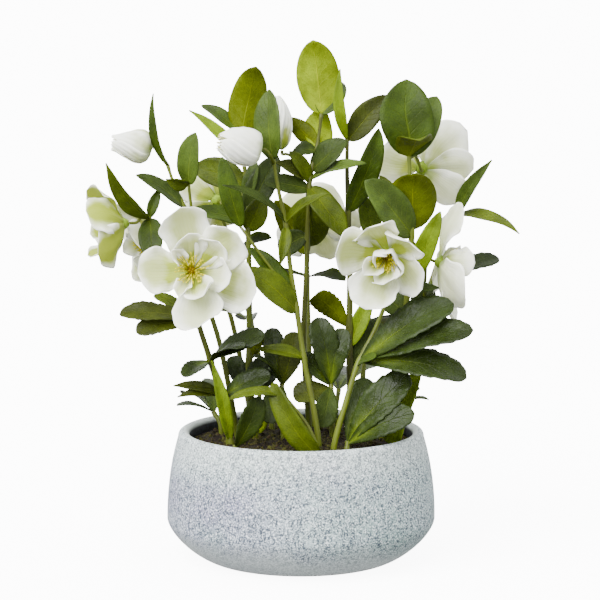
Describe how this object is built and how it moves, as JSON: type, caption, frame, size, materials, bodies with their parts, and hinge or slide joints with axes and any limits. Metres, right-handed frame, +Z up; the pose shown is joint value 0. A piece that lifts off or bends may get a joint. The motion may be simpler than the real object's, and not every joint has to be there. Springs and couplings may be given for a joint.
{
  "type": "potted hellebore",
  "caption": "Potted hellebore: a low round stoneware bowl filled with soil, carrying leafy stems with white open blooms, closed buds and cut basal leaves.",
  "frame": {"origin": "centre of the bowl's flat foot, on the surface that it stands on", "axes": "+Z up and the longest extent, +X to the right seen from the front, -Y towards the viewer"},
  "size_m": [0.319, 0.206, 0.3861],
  "materials": {
    "stoneware": "speckled, satin",
    "soil": "rough",
    "leaf": "satin",
    "dark_leaf": "satin",
    "fresh_leaf": "satin",
    "tepal": "matte",
    "stamen": "matte"
  },
  "bodies": {
    "root": {"bowl": "stoneware", "soil": "soil", "stem_left_front": "leaf", "stem_left": "leaf", "stem_left_bud": "leaf", "stem_mid_left": "leaf", "stem_centre_front": "leaf", "stem_centre_tall": "leaf", "stem_mid_right": "leaf", "stem_front_right": "leaf", "stem_right_tall": "leaf", "stem_right": "leaf", "stem_back_left": "leaf", "stem_back_centre": "leaf", "stem_back_right": "leaf", "leaf_front_dark": "dark_leaf", "leaf_front_strap": "fresh_leaf", "leaf_front_left": "dark_leaf", "leaf_centre_left": "dark_leaf", "leaf_centre_right": "dark_leaf", "leaf_right_strap": "fresh_leaf", "leaf_left_low": "dark_leaf", "leaf_back_left": "dark_leaf", "leaf_back_right": "dark_leaf", "leaf_right_low": "dark_leaf", "tepals_front_left": "tepal", "stamens_front_left": "stamen", "tepals_front_right": "tepal", "stamens_front_right": "stamen", "tepals_right": "tepal", "stamens_right": "stamen", "tepals_far_left": "tepal", "stamens_far_left": "stamen", "tepals_left_inner": "tepal", "stamens_left_inner": "stamen", "tepals_back_right": "tepal", "stamens_back_right": "stamen", "tepals_back_left": "tepal", "stamens_back_left": "stamen", "tepals_back_centre": "tepal", "stamens_back_centre": "stamen", "bud_left": "tepal", "bud_centre": "tepal", "bud_behind": "tepal", "bud_back": "tepal"}
  },
  "joints": []
}
